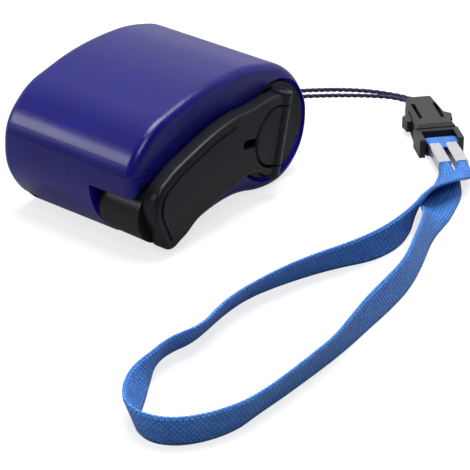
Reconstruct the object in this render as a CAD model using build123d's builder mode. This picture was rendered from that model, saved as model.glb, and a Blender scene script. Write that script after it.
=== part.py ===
from build123d import *
from math import acos, cos, pi, radians, sin, sqrt, tan
import os

os.makedirs("parts", exist_ok=True)

# Hand crank phone charger: a bean-shaped two-part shell with a folding crank on
# its near side, a gear train and generator inside, and a wrist strap.
# +X runs from the knob end to the hub end, -Y is the crank side, +Z is up.
# The origin is under the middle of the charger, where it stands on its two lobes.

# ---------------------------------------------------------------- housing sizes
housing_length = 67.3
housing_width = 42.0
housing_height = 36.1
wall = 2.0
rim_round = 2.4
foot_flat = 0.12  # how deep the two lobes are flattened where they stand
seam_tilt = 10.0
seam_height = 16.3  # where the parting plane crosses the middle
seam_groove_deep = 0.35
seam_groove_high = 0.5
lip_high = 1.4
lip_thick = 0.9
lip_gap = 0.1

# Side outline, as shares of half the length and of the height, with the heading
# in degrees where the outline is level or upright.
outline_shape = [
    (-1.000, 0.470, 90),
    (-0.955, 0.690, None),
    (-0.800, 0.845, None),
    (-0.420, 0.962, None),
    (0.000, 1.000, 0),
    (0.420, 0.962, None),
    (0.700, 0.865, None),
    (0.905, 0.675, None),
    (1.000, 0.440, -90),
    (0.925, 0.170, None),
    (0.590, 0.000, 180),
    (0.050, 0.080, 180),
    (-0.600, 0.000, 180),
    (-0.870, 0.165, None),
]

# ---------------------------------------------------------------- crank sizes
side_gap = 0.5  # between the housing's side and the arm's back
hub_chamfer = 0.5
hub_rim = 1.5
hub_core_r = 5.0
hub_face = 1.3  # thickness left over the hollow back of the hub
boss_round = 0.7
shaft_in_hub = 2.1
arm_thick = 4.0
arm_round = 1.1
panel_raise = 0.4
panel_inset = 2.4
panel_end = 17.3  # from the hinge back to the straight end of the raised panel
knuckle_r = 2.6
knuckle_gap = 0.3
hub_knuckle_long = 15.0
arm_knuckle_from = 7.9  # along the hinge, from its centre
arm_knuckle_long = 3.0
hinge_tilt = 13.6
hinge_offset = 2.0  # hinge axis to the left of the spin axis
hinge_rise = 0.8
hinge_pin_r = 0.9
pin_gap = 0.05
boss_r = 7.6
boss_offset = 2.3
boss_gap = 0.5
slot_wide = 2.3
slot_reach = 11.7  # from the boss's centre to the centre of the slot's round end
slot_angle = 170.3

spin_from_end = 14.75  # spin axis in from the hub end
spin_height = 15.5
well_r = 13.4
well_deep = 3.6
well_floor = 1.8
well_wall = 1.5
disc_r = 12.8
disc_below = 0.6  # disc's face below the housing's side
disc_thick = 2.7

knob_r = 8.0
knob_from_end = 9.85
knob_height = 10.6
knob_long = 12.9
knob_back_gap = 0.3
knob_round = 0.9
knob_waist = 0.25  # slight draft towards the arm
knob_screw_r = 1.5
knob_head_r = 3.1
knob_head_deep = 2.6
knob_head_thick = 1.6
knob_head_gap = 0.2
knob_thread_r = 1.1
knob_thread = 2.8

notch_right_of_knob = 12.0
notch_top = 17.0
notch_relief = 0.4  # extra radius of the round roof over the knob
knob_slip = 2.7  # how far the knob's end moves along the arm as it swings out
notch_end_gap = 0.6
notch_wall = 1.3

# ---------------------------------------------------------------- gear train sizes
module = 0.5
pressure_angle = 20.0
backlash = 0.14
drive_teeth = 44
wheel_one_teeth = 40
wheel_two_teeth = 36
pinion_teeth = 12
rotor_teeth = 10
stage_one_angle = 158.0  # direction from the drive gear to the first compound gear
stage_two_angle = 205.0
stage_three_angle = 160.0
centre_slack = 0.04

shaft_r = 2.0
running_gap = 0.05
bush_r = 3.6
bush_flange_r = 5.2
bush_flange = 0.8
axle_r = 0.75
gear_hub_r = 2.4
plate_thick = 1.5
drive_gear_thick = 2.2
plate_gap = 0.4
sleeve_r = 1.8
sleeve_gap = 0.2
shaft_flat = 0.4
shaft_past_plate = 1.8
clip_thick = 0.5
clip_groove_r = 1.4
clip_r = 3.2
lightening_r = 1.7
drive_phase = 3.0
standoff_r = 1.6
plate_screw_r = 0.8
plate_screw_head_r = 1.5
plate_screw_head = 0.8

motor_r = 10.0
motor_long = 15.0
motor_shaft_r = 0.75
motor_nose_r = 3.0
motor_nose = 0.8
can_wall = 0.8
cap_thick = 1.2
cap_plug = 1.0
magnet_inner_r = 7.1
armature_r = 6.6
armature_slot = 1.2
motor_screw_r = 0.7
motor_screw_head_r = 1.4
motor_screw_head = 0.5
motor_screw_out = 6.5

# ---------------------------------------------------------------- electrics
board_thick = 1.2
board_long = 19.4
board_deep = 18.4
board_height = 8.6
usb_wide = 13.2
usb_high = 5.8
usb_deep = 13.0
usb_wall = 0.35
usb_x = 14.0
usb_clear = 0.2
tongue_wide = 11.1
tongue_thick = 1.8
tongue_back = 1.9
tongue_root = 2.5
tongue_rise = 1.0
usb_recess = 0.3
contact_thick = 0.2
diode_r = 0.8
cap_r = 3.1
cap_long = 9.0
wire_r = 0.5

# ---------------------------------------------------------------- screws and lanyard
screw_r = 1.1
screw_head_r = 1.9
screw_head = 1.4
screw_long = 11.0
post_r = 3.0
pilot_r = 0.95
post_from_side = 1.2  # post's centre in from the inner wall
screw_grip = 4.0  # lower shell under the parting plane that a screw holds
eye_y = 4.0
eye_wide = 9.0
eye_low = 8.4
eye_high = 14.0
eye_deep = 5.0
eye_wall = 1.2
eye_pin_r = 0.9
eye_pin_in = 1.6
string_r = 0.6

# ---------------------------------------------------------------- buckle and strap
buckle_x = 75.4
buckle_y = -22.9
buckle_turn = 229.6
socket_long = 18.0
socket_end_wide = 7.0
socket_mouth_wide = 10.6
socket_high = 6.0
socket_room_high = 3.4
socket_room_end = 4.6
socket_room_mouth = 8.0
socket_stop = 3.5
prong_gap = 0.25
window_from = 5.5
window_to = 12.5
lever_bulge = 1.3
top_slot_from = 5.0
top_slot_to = 14.0
top_slot_wide = 1.0
top_slot_out = 2.9
frame_long = 6.6
frame_wide = 11.6
frame_high = 5.0
frame_arm = 1.5
bar_r = 1.1
bar_at = 23.2  # from the socket's string end
webbing_wide = 8.2
webbing_thick = 1.0
crimp_long = 10.5
crimp_wide = 3.3
crimp_high = 3.0
crimp_apart = 4.4
crimp_from = 25.7
crimp_low = 1.5
crimp_round = 0.6

# The wrist strap's way over the table, from the right crimp round to the left one.
strap_lead = 4.0
strap_route = [
    (43.6, -64.6),
    (32.0, -72.6),
    (18.5, -77.0),
    (2.0, -79.4),
    (-14.0, -81.0),
    (-33.7, -82.6),
    (-53.1, -83.6),
    (-70.0, -83.6),
    (-81.0, -81.4),
    (-88.0, -75.6),
    (-86.2, -67.2),
    (-77.5, -57.6),
    (-66.8, -53.6),
    (-54.9, -54.9),
    (-43.0, -54.4),
    (-31.0, -57.0),
    (-18.0, -64.2),
    (-4.0, -71.2),
    (11.8, -73.6),
    (26.0, -71.0),
    (38.5, -62.4),
]

# ---------------------------------------------------------------- places that follow
half_long = housing_length / 2
half_wide = housing_width / 2
knuckle_front = half_wide + side_gap + arm_thick / 2 + knuckle_r
mid_y = (knuckle_front - half_wide) / 2
spin = Vector(half_long - spin_from_end, spin_height)
knob = Vector(-half_long + knob_from_end, knob_height)
hinge = Vector(spin.X - hinge_offset, spin.Y + hinge_rise)
hinge_up = Vector(sin(radians(hinge_tilt)), cos(radians(hinge_tilt)))
hinge_left = Vector(-hinge_up.Y, hinge_up.X)
arm_back = -half_wide - side_gap
arm_front = arm_back - arm_thick
hinge_y = arm_back - arm_thick / 2
notch_right = knob.X + notch_right_of_knob
knob_end = arm_back + knob_back_gap + knob_long
notch_end = knob_end + notch_end_gap
disc_face = -half_wide + disc_below
disc_back = disc_face + disc_thick
floor_in = -half_wide + well_deep + well_floor
near_inner = -half_wide + wall
far_inner = half_wide - wall
seam_slope = tan(radians(seam_tilt))


def side_plane(y):
    """Upright plane facing the crank side, y from the housing's middle."""
    return Plane.XZ.offset(-(y + mid_y))


def seam_z(x):
    return seam_height - seam_slope * x


def inward(heading):
    return Vector(heading.Y, -heading.X)


def heading_at(before, after):
    """Heading of the circle through three points, at the middle one."""
    return (before * (1 / before.length**2) + after * (1 / after.length**2)).normalized()


def tangent_arcs(points, headings, inset):
    """Start, end and heading of two tangent arcs for each stretch, drawn in by inset."""
    arcs = []
    for start, end, lead, tail in zip(points, points[1:], headings, headings[1:]):
        chord = end - start
        along = chord.dot(lead + tail)
        bend = 2 * (1 - lead.dot(tail))
        reach = chord.dot(chord) / (along + sqrt(along**2 + bend * chord.dot(chord)))
        turn = (end - tail * reach - start - lead * reach).normalized()
        middle = (start + lead * reach + end - tail * reach) * 0.5 + inward(turn) * inset
        arcs.append((start + inward(lead) * inset, middle, lead))
        arcs.append((middle, end + inward(tail) * inset, turn))
    return arcs


def housing_face(inset):
    """The side outline, drawn in by inset, in the sketch that is open."""
    points = [Vector(x * half_long, z * housing_height - foot_flat) for x, z, _ in outline_shape]
    headings = []
    for i, (_, _, heading) in enumerate(outline_shape):
        along = heading_at(points[i] - points[i - 1], points[(i + 1) % len(points)] - points[i])
        if heading is not None:
            along = Vector(cos(radians(heading)), sin(radians(heading)))
        headings.append(along)
    with BuildLine() as outline:
        for start, end, heading in tangent_arcs(points + points[:1], headings + headings[:1], inset):
            TangentArc(start, end, tangent=heading)
    make_face(outline.edges())


def notch_face(grow):
    """The corner that the knob folds into, with a round roof along the knob's way out."""
    low = -housing_height
    left = -housing_length
    with Locations(((left + notch_right + grow) / 2, (low + notch_top + grow) / 2)):
        Rectangle(notch_right + grow - left, notch_top + grow - low)
    roof_r = knob_r + notch_relief + grow
    way_out = knob + hinge_left * knob_slip
    with Locations((knob.X, knob.Y), (way_out.X, way_out.Y)):
        Circle(roof_r)
    half_way = knob + hinge_left * (knob_slip / 2)
    with Locations((half_way.X, half_way.Y)):
        Rectangle(knob_slip, 2 * roof_r, rotation=-hinge_tilt)


def involute(angle):
    return tan(angle) - angle


def gear_face(teeth, phase):
    """A gear wheel with its teeth round the sketch's own centre."""
    pitch_r = module * teeth / 2
    base_r = pitch_r * cos(radians(pressure_angle))
    tip_r = pitch_r + 0.95 * module
    root_r = pitch_r - 1.2 * module
    half_pitch = pi / (2 * teeth) - backlash / (2 * pitch_r)

    def flank(radius):
        spread = involute(acos(min(1.0, base_r / radius)))
        angle = half_pitch + involute(radians(pressure_angle)) - spread
        return Vector(radius * cos(angle), radius * sin(angle))

    stations = [flank(r) for r in (root_r, pitch_r, tip_r)]
    inside = Vector(root_r * 0.97, 0)
    upper = [(p.X, p.Y) for p in stations]
    lower = [(p.X, -p.Y) for p in reversed(stations)]
    feet = [(inside.X, -stations[0].Y), (inside.X, stations[0].Y)]
    Circle(root_r)
    with PolarLocations(0, teeth, start_angle=phase):
        Polygon(*(feet + upper + lower), align=None)


def mesh_phase(teeth_a, phase_a, teeth_b, direction):
    """Where gear b's first tooth points so that its gap meets gear a's tooth."""
    return direction + 180 + (teeth_a * (direction - phase_a) - 180) / teeth_b


def gear_distance(teeth_a, teeth_b):
    return module * (teeth_a + teeth_b) / 2 + centre_slack


def step_out(start, distance, angle):
    return Vector(start.X + distance * cos(radians(angle)), start.Y + distance * sin(radians(angle)))


def finish(builder, name):
    builder.part.label = name
    export_step(builder.part, f"parts/{name}.step")


stage_one = step_out(spin, gear_distance(drive_teeth, pinion_teeth), stage_one_angle)
stage_two = step_out(stage_one, gear_distance(wheel_one_teeth, pinion_teeth), stage_two_angle)
rotor_at = step_out(stage_two, gear_distance(wheel_two_teeth, rotor_teeth), stage_three_angle)

# Layers of the gearbox from the near side inwards, y from the housing's middle.
near_plate_y = floor_in + bush_flange + 0.2
drive_y = near_plate_y + plate_thick + plate_gap
wheel_one_y = drive_y + drive_gear_thick + 0.5
wheel_two_y = notch_end + notch_wall + plate_gap
wheel_thick = 1.8
far_plate_y = wheel_two_y + wheel_thick + plate_gap + 0.3
motor_y = far_plate_y + plate_thick
cap_y = motor_y + motor_long - cap_thick
shaft_end = motor_y + shaft_past_plate
clip_y = motor_y + 0.3

# How the teeth line up at rest.
pinion_one_phase = mesh_phase(drive_teeth, drive_phase, pinion_teeth, stage_one_angle)
wheel_one_phase = pinion_one_phase
pinion_two_phase = mesh_phase(wheel_one_teeth, wheel_one_phase, pinion_teeth, stage_two_angle)
wheel_two_phase = pinion_two_phase
rotor_phase = mesh_phase(wheel_two_teeth, wheel_two_phase, rotor_teeth, stage_three_angle)

standoff_places = [(3.5, 8.0), (18.5, 29.2), (-10.5, 27.5)]
motor_screw_places = [step_out(rotor_at, motor_screw_out, angle) for angle in (100, 220)]
front_plate_shape = [
    (notch_right + notch_wall + 0.5, 11.0),
    (notch_right + notch_wall + 0.5, notch_top + notch_wall + 0.6),
    (-13.0, 20.6),
    (-13.0, 27.5),
    (-9.0, 31.0),
    (8.0, 32.0),
    (20.5, 32.0),
    (25.5, 22.0),
    (25.5, 12.0),
    (22.5, 2.0),
    (17.5, 1.0),
    (14.0, 5.5),
    (1.0, 5.5),
]
back_plate_shape = [
    (-23.5, -1.0),
    (-17.0, -1.0),
    (-14.0, 7.0),
    (14.0, 5.5),
    (17.0, -1.0),
    (22.5, -1.0),
    (25.5, 12.0),
    (25.5, 22.0),
    (20.5, 32.0),
    (8.0, 32.0),
    (-9.0, 32.0),
    (-20.0, 30.5),
    (-28.0, 24.5),
    (-28.0, 14.0),
]

# Screw posts of the housing: x, y from the housing's middle.
post_places = [
    (-half_long + 7.2, far_inner - post_from_side),
    (half_long - 6.8, far_inner - post_from_side),
    (-2.0, far_inner - post_from_side),
    (-3.2, near_inner + post_from_side),
]

eye_pin_at = (half_long - eye_pin_in - eye_pin_r, eye_y + mid_y)
up_from = (Align.CENTER, Align.CENTER, Align.MIN)
down_from = (Align.CENTER, Align.CENTER, Align.MAX)

# The arm's outline: points from the knob, on the line between, and from the hinge.
def from_knob(x, z):
    return (knob.X + x, knob.Y + z)


def between(share, rise):
    middle = knob + (hinge - knob) * share
    return (middle.X, middle.Y + rise)


def from_hinge(x, z):
    return (hinge.X + x, hinge.Y + z)


arm_top_end = hinge + hinge_up * (arm_knuckle_from + arm_knuckle_long)
arm_low_end = hinge - hinge_up * (arm_knuckle_from + arm_knuckle_long)
arm_upper = [
    from_knob(-6.5, 2.9),
    from_knob(-5.2, 7.0),
    from_knob(-0.6, 10.2),
    from_knob(7.8, 13.2),
    between(0.413, 13.2),
    from_hinge(-15.9, 10.9),
    from_hinge(-9.9, 10.7),
    from_hinge(-3.6, 11.0),
    (arm_top_end.X, arm_top_end.Y),
]
arm_lower = [
    (arm_low_end.X, arm_low_end.Y),
    from_hinge(-5.6, -9.0),
    from_hinge(-9.3, -6.7),
    from_hinge(-12.4, -6.3),
    between(0.55, -5.0),
    between(0.41, -5.0),
    from_knob(9.4, -4.7),
    from_knob(3.8, -7.6),
    from_knob(-1.5, -8.7),
]
arm_tip_mid = from_knob(-4.4, -4.1)

# ---------------------------------------------------------------- housing
seam = Plane(origin=(0, 0, seam_height), x_dir=(1, 0, -seam_slope), z_dir=(seam_slope, 0, 1))


def seam_slab(low, high):
    """A slab along the parting plane, between two heights above it."""
    with BuildPart() as slab:
        with BuildSketch(seam.offset(low)):
            Rectangle(housing_length * 2, housing_width * 2)
        extrude(amount=high - low)
    return slab.part


with BuildPart() as housing_block:
    with BuildSketch(side_plane(0)):
        housing_face(0)
    extrude(amount=half_wide, both=True)
    fillet(housing_block.faces().filter_by(Axis.Y).edges(), rim_round)
    with BuildSketch(Plane.XY):
        with Locations((0, mid_y)):
            Rectangle(housing_length * 2, housing_width * 2)
    extrude(amount=-housing_height, mode=Mode.SUBTRACT)

with BuildPart() as cavity:
    with BuildSketch(side_plane(0)):
        housing_face(wall)
    extrude(amount=half_wide - wall, both=True)

with BuildPart() as inner_walls:
    with BuildSketch(side_plane(floor_in)):
        with Locations((spin.X, spin.Y)):
            Circle(well_r + well_wall)
    extrude(amount=half_wide + floor_in)
    with BuildSketch(Plane.XY.offset(eye_low - eye_wall)):
        with Locations((half_long, eye_y + mid_y)):
            Rectangle(2 * (eye_deep + eye_wall), eye_wide + 2 * eye_wall)
    extrude(amount=eye_high - eye_low + 2 * eye_wall)
    with BuildSketch(Plane.XY):
        with Locations(*[(x, y + mid_y) for x, y in post_places]):
            Circle(post_r)
    extrude(amount=housing_height)
    add(housing_block.part, mode=Mode.INTERSECT)

with BuildPart() as notch_walls:
    with BuildSketch(side_plane(notch_end + notch_wall)):
        notch_face(notch_wall)
    extrude(amount=half_wide + notch_end + notch_wall)
    add(housing_block.part, mode=Mode.INTERSECT)
    add(seam_slab(-2 * housing_height, 0), mode=Mode.INTERSECT)

with BuildPart() as recesses:
    with BuildSketch(side_plane(-half_wide + well_deep)):
        with Locations((spin.X, spin.Y)):
            Circle(well_r)
    extrude(amount=2 * well_deep)
    with BuildSketch(side_plane(notch_end)):
        notch_face(0)
    extrude(amount=housing_width)
    with BuildSketch(side_plane(floor_in)):
        with Locations((spin.X, spin.Y)):
            Circle(bush_r + 0.03)
    extrude(amount=2 * well_floor)
    with BuildSketch(Plane.XY.offset(eye_low)):
        with Locations((half_long, eye_y + mid_y)):
            Rectangle(2 * eye_deep, eye_wide)
    extrude(amount=eye_high - eye_low)
    with BuildSketch(Plane.XY.offset(eye_low - 0.8 * eye_wall)):
        with Locations((half_long - eye_pin_in - eye_pin_r, eye_y + mid_y)):
            Circle(eye_pin_r)
    extrude(amount=eye_high - eye_low + 1.6 * eye_wall)
    with BuildSketch(side_plane(half_wide + 1)):
        with Locations((usb_x, board_height + board_thick + usb_high / 2)):
            Rectangle(usb_wide + 2 * usb_clear, usb_high + 2 * usb_clear)
    extrude(amount=wall + 2)

with BuildPart() as housing:
    add(housing_block.part)
    add(cavity.part, mode=Mode.SUBTRACT)
    add(inner_walls.part)
    add(notch_walls.part)
    add(recesses.part, mode=Mode.SUBTRACT)

with BuildPart() as seam_groove:
    with BuildSketch(side_plane(0)):
        housing_face(0)
    extrude(amount=half_wide, both=True)
    with BuildSketch(side_plane(0)):
        housing_face(seam_groove_deep)
    extrude(amount=half_wide - seam_groove_deep, both=True, mode=Mode.SUBTRACT)
    add(seam_slab(-seam_groove_high / 2, seam_groove_high / 2), mode=Mode.INTERSECT)


def lip_ring(clearance):
    """The tongue that the lower shell pushes up inside the upper one."""
    grow = lip_thick + clearance
    with BuildPart() as ring:
        with BuildSketch(side_plane(0)):
            housing_face(wall - grow)
        extrude(amount=half_wide - wall + grow, both=True)
        with BuildSketch(side_plane(0)):
            housing_face(wall)
        extrude(amount=half_wide - wall, both=True, mode=Mode.SUBTRACT)
        add(seam_slab(0, lip_high + clearance), mode=Mode.INTERSECT)
        add(recesses.part, mode=Mode.SUBTRACT)
    return ring.part


with BuildPart() as lower_shell:
    add(housing.part)
    add(seam_slab(-2 * housing_height, 0), mode=Mode.INTERSECT)
    add(lip_ring(0))
    add(seam_groove.part, mode=Mode.SUBTRACT)
    for x, y in post_places:
        seat = seam_z(x) - screw_grip
        with Locations((x, y + mid_y, -1)):
            Cylinder(screw_r + 0.1, housing_height, align=up_from, mode=Mode.SUBTRACT)
            Cylinder(screw_head_r + 0.15, seat + 1, align=up_from, mode=Mode.SUBTRACT)
finish(lower_shell, "lower_shell")

with BuildPart() as upper_shell:
    add(housing.part)
    add(seam_slab(0, 2 * housing_height), mode=Mode.INTERSECT)
    add(lip_ring(lip_gap), mode=Mode.SUBTRACT)
    add(seam_groove.part, mode=Mode.SUBTRACT)
    for x, y in post_places:
        with Locations((x, y + mid_y, 0)):
            Cylinder(pilot_r, seam_z(x) + screw_long - screw_grip + 1, align=up_from, mode=Mode.SUBTRACT)
finish(upper_shell, "upper_shell")
print("shells", len(lower_shell.solids()), len(upper_shell.solids()))

with BuildPart() as shell_screws:
    for x, y in post_places:
        with Locations((x, y + mid_y, seam_z(x) - screw_grip)):
            Cylinder(pilot_r, screw_long, align=up_from)
            Cylinder(screw_head_r, screw_head, align=down_from)
        with Locations((x, y + mid_y, seam_z(x) - screw_grip - screw_head)):
            Box(2.4, 0.6, 1.4, mode=Mode.SUBTRACT)
            Box(0.6, 2.4, 1.4, mode=Mode.SUBTRACT)
finish(shell_screws, "shell_screws")

with BuildPart() as eye_pin:
    with BuildSketch(Plane.XY.offset(eye_low - 0.8 * eye_wall)):
        with Locations(eye_pin_at):
            Circle(eye_pin_r)
    extrude(amount=eye_high - eye_low + 1.6 * eye_wall)
finish(eye_pin, "eye_pin")

# ---------------------------------------------------------------- crank hub and shaft
hinge_plane = Plane(
    origin=(hinge.X, hinge_y + mid_y, hinge.Y),
    x_dir=(hinge_left.X, 0, hinge_left.Y),
    z_dir=(hinge_up.X, 0, hinge_up.Y),
)
boss_at = hinge + hinge_left * boss_offset
slot_way = Vector(cos(radians(slot_angle)), sin(radians(slot_angle)))
slot_end = boss_at + slot_way * slot_reach


def left_of_hinge(start, end, half_high):
    """A strip beside the hinge axis, from start to end to its left."""
    middle = hinge + hinge_left * ((start + end) / 2)
    with Locations((middle.X, middle.Y)):
        Rectangle(end - start, 2 * half_high, rotation=-hinge_tilt)


with BuildPart() as crank_hub:
    with BuildSketch(side_plane(disc_back)):
        with Locations((spin.X, spin.Y)):
            Circle(disc_r)
    extrude(amount=disc_thick)
    chamfer(crank_hub.faces().sort_by(Axis.Y)[0].edges(), hub_chamfer)
    with BuildSketch(side_plane(disc_back)):
        with Locations((spin.X, spin.Y)):
            Circle(disc_r - hub_rim)
            Circle(hub_core_r, mode=Mode.SUBTRACT)
    extrude(amount=disc_thick - hub_face, mode=Mode.SUBTRACT)
    with BuildSketch(side_plane(disc_face)):
        with BuildSketch(side_plane(disc_face), mode=Mode.PRIVATE) as boss_side:
            left_of_hinge(0, 2 * boss_r, 2 * boss_r)
        with Locations((boss_at.X, boss_at.Y)):
            Circle(boss_r)
        add(boss_side.sketch, mode=Mode.INTERSECT)
    extrude(amount=disc_face - arm_front)
    fillet(crank_hub.faces().sort_by(Axis.Y)[0].edges().filter_by(GeomType.CIRCLE), boss_round)
    with BuildSketch(hinge_plane.offset(-hub_knuckle_long / 2)):
        Circle(knuckle_r)
    extrude(amount=hub_knuckle_long)
    with BuildSketch(hinge_plane.offset(-hub_knuckle_long)):
        Circle(hinge_pin_r + running_gap)
    extrude(amount=2 * hub_knuckle_long, mode=Mode.SUBTRACT)
    with BuildSketch(side_plane(disc_back)):
        with Locations((spin.X, spin.Y)):
            Circle(shaft_r)
    extrude(amount=shaft_in_hub, mode=Mode.SUBTRACT)
finish(crank_hub, "crank_hub")

with BuildPart() as drive_shaft:
    with BuildSketch(side_plane(shaft_end)):
        with Locations((spin.X, spin.Y)):
            Circle(shaft_r)
    extrude(amount=shaft_end - disc_back + shaft_in_hub)
    with BuildSketch(side_plane(drive_y + drive_gear_thick)):
        with Locations((spin.X + shaft_r, spin.Y)):
            Rectangle(2 * shaft_flat, 2 * shaft_r)
    extrude(amount=drive_gear_thick, mode=Mode.SUBTRACT)
    with BuildSketch(side_plane(clip_y + clip_thick + 0.05)):
        with Locations((spin.X, spin.Y)):
            Circle(shaft_r)
            Circle(clip_groove_r, mode=Mode.SUBTRACT)
    extrude(amount=clip_thick + 0.1, mode=Mode.SUBTRACT)
finish(drive_shaft, "drive_shaft")

with BuildPart() as shaft_clip:
    with BuildSketch(side_plane(clip_y + clip_thick)):
        with Locations((spin.X, spin.Y)):
            Circle(clip_r)
            Circle(clip_groove_r, mode=Mode.SUBTRACT)
        with Locations((spin.X, spin.Y + clip_r)):
            Rectangle(1.6 * clip_groove_r, 2 * clip_r, mode=Mode.SUBTRACT)
    extrude(amount=clip_thick)
finish(shaft_clip, "shaft_clip")

with BuildPart() as hub_bush:
    with BuildSketch(side_plane(floor_in + bush_flange)):
        with Locations((spin.X, spin.Y)):
            Circle(bush_flange_r)
    extrude(amount=bush_flange)
    with BuildSketch(side_plane(floor_in)):
        with Locations((spin.X, spin.Y)):
            Circle(bush_r)
    extrude(amount=well_floor - 0.1)
    with BuildSketch(side_plane(floor_in + bush_flange)):
        with Locations((spin.X, spin.Y)):
            Circle(shaft_r + running_gap)
    extrude(amount=bush_flange + well_floor, mode=Mode.SUBTRACT)
finish(hub_bush, "hub_bush")

# ---------------------------------------------------------------- gear train
with BuildPart() as drive_gear:
    with BuildSketch(side_plane(drive_y + drive_gear_thick)):
        with Locations((spin.X, spin.Y)):
            gear_face(drive_teeth, drive_phase)
            Circle(shaft_r, mode=Mode.SUBTRACT)
        with Locations((spin.X + 2 * shaft_r - shaft_flat, spin.Y)):
            Rectangle(2 * shaft_r, 2 * shaft_r)
        with Locations((spin.X, spin.Y)):
            with PolarLocations(0.6 * module * drive_teeth / 2, 6, start_angle=30):
                Circle(lightening_r, mode=Mode.SUBTRACT)
    extrude(amount=drive_gear_thick)
finish(drive_gear, "drive_gear")


def compound_gear(at, wheel_teeth, wheel_phase, wheel_y, pinion_phase, pinion_y, pinion_end):
    """A pinion and a wheel in one piece, on a sleeve that fills the space between the plates."""
    with BuildPart() as gear:
        with BuildSketch(side_plane(far_plate_y - sleeve_gap)):
            with Locations((at.X, at.Y)):
                Circle(sleeve_r)
        extrude(amount=far_plate_y - near_plate_y - plate_thick - 2 * sleeve_gap)
        with BuildSketch(side_plane(pinion_end)):
            with Locations((at.X, at.Y)):
                gear_face(pinion_teeth, pinion_phase)
        extrude(amount=pinion_end - pinion_y)
        with BuildSketch(side_plane(wheel_y + wheel_thick)):
            with Locations((at.X, at.Y)):
                gear_face(wheel_teeth, wheel_phase)
        extrude(amount=wheel_thick)
        with BuildSketch(side_plane(far_plate_y)):
            with Locations((at.X, at.Y)):
                Circle(axle_r + running_gap)
        extrude(amount=housing_width, mode=Mode.SUBTRACT)
    return gear


compound_gear_one = compound_gear(
    stage_one, wheel_one_teeth, wheel_one_phase, wheel_one_y, pinion_one_phase, drive_y - 0.2, wheel_one_y
)
finish(compound_gear_one, "compound_gear_one")

compound_gear_two = compound_gear(
    stage_two, wheel_two_teeth, wheel_two_phase, wheel_two_y, pinion_two_phase, wheel_one_y - 0.2, wheel_two_y
)
finish(compound_gear_two, "compound_gear_two")

with BuildPart() as front_gear_plate:
    with BuildSketch(side_plane(near_plate_y + plate_thick)):
        Polygon(*front_plate_shape, align=None)
        with BuildSketch(side_plane(near_plate_y + plate_thick), mode=Mode.PRIVATE) as room:
            housing_face(wall + 0.3)
        add(room.sketch, mode=Mode.INTERSECT)
        with Locations((spin.X, spin.Y)):
            Circle(shaft_r + 0.4, mode=Mode.SUBTRACT)
        with Locations((stage_one.X, stage_one.Y), (stage_two.X, stage_two.Y)):
            Circle(axle_r, mode=Mode.SUBTRACT)
        with Locations(*standoff_places):
            Circle(plate_screw_r + 0.1, mode=Mode.SUBTRACT)
    extrude(amount=plate_thick)
finish(front_gear_plate, "front_gear_plate")

with BuildPart() as back_gear_plate:
    with BuildSketch(side_plane(far_plate_y + plate_thick)):
        Polygon(*back_plate_shape, align=None)
        with BuildSketch(side_plane(far_plate_y + plate_thick), mode=Mode.PRIVATE) as far_room:
            housing_face(wall + 0.05)
        add(far_room.sketch, mode=Mode.INTERSECT)
        with Locations((spin.X, spin.Y)):
            Circle(shaft_r + running_gap, mode=Mode.SUBTRACT)
        with Locations((stage_one.X, stage_one.Y), (stage_two.X, stage_two.Y)):
            Circle(axle_r, mode=Mode.SUBTRACT)
        with Locations((rotor_at.X, rotor_at.Y)):
            Circle(motor_nose_r + 0.05, mode=Mode.SUBTRACT)
        with Locations(*[(p.X, p.Y) for p in motor_screw_places]):
            Circle(motor_screw_r + 0.05, mode=Mode.SUBTRACT)
        with Locations(*standoff_places):
            Circle(plate_screw_r, mode=Mode.SUBTRACT)
    extrude(amount=plate_thick)
finish(back_gear_plate, "back_gear_plate")

with BuildPart() as plate_standoffs:
    with BuildSketch(side_plane(far_plate_y)):
        with Locations(*standoff_places):
            Circle(standoff_r)
            Circle(plate_screw_r + 0.1, mode=Mode.SUBTRACT)
    extrude(amount=far_plate_y - near_plate_y - plate_thick)
finish(plate_standoffs, "plate_standoffs")

with BuildPart() as gear_plate_screws:
    with BuildSketch(side_plane(motor_y)):
        with Locations(*standoff_places):
            Circle(plate_screw_r)
    extrude(amount=motor_y - near_plate_y)
    with BuildSketch(side_plane(near_plate_y)):
        with Locations(*standoff_places):
            Circle(plate_screw_head_r)
            Rectangle(0.5, 2 * plate_screw_head_r, mode=Mode.SUBTRACT)
    extrude(amount=plate_screw_head)
finish(gear_plate_screws, "gear_plate_screws")

with BuildPart() as gear_axles:
    with BuildSketch(side_plane(motor_y)):
        with Locations((stage_one.X, stage_one.Y), (stage_two.X, stage_two.Y)):
            Circle(axle_r)
    extrude(amount=motor_y - near_plate_y)
finish(gear_axles, "gear_axles")

# ---------------------------------------------------------------- generator
with BuildPart() as generator_can:
    with BuildSketch(side_plane(cap_y)):
        with Locations((rotor_at.X, rotor_at.Y)):
            Circle(motor_r)
    extrude(amount=cap_y - motor_y)
    with BuildSketch(side_plane(motor_y)):
        with Locations((rotor_at.X, rotor_at.Y)):
            Circle(motor_nose_r)
    extrude(amount=motor_nose)
    with BuildSketch(side_plane(cap_y)):
        with Locations((rotor_at.X, rotor_at.Y)):
            Circle(motor_r - can_wall)
    extrude(amount=cap_y - motor_y - can_wall, mode=Mode.SUBTRACT)
    with BuildSketch(side_plane(motor_y + can_wall)):
        with Locations((rotor_at.X, rotor_at.Y)):
            Circle(motor_shaft_r + running_gap)
        with Locations(*[(p.X, p.Y) for p in motor_screw_places]):
            Circle(motor_screw_r)
    extrude(amount=can_wall + motor_nose + 1, mode=Mode.SUBTRACT)
finish(generator_can, "generator_can")

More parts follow.
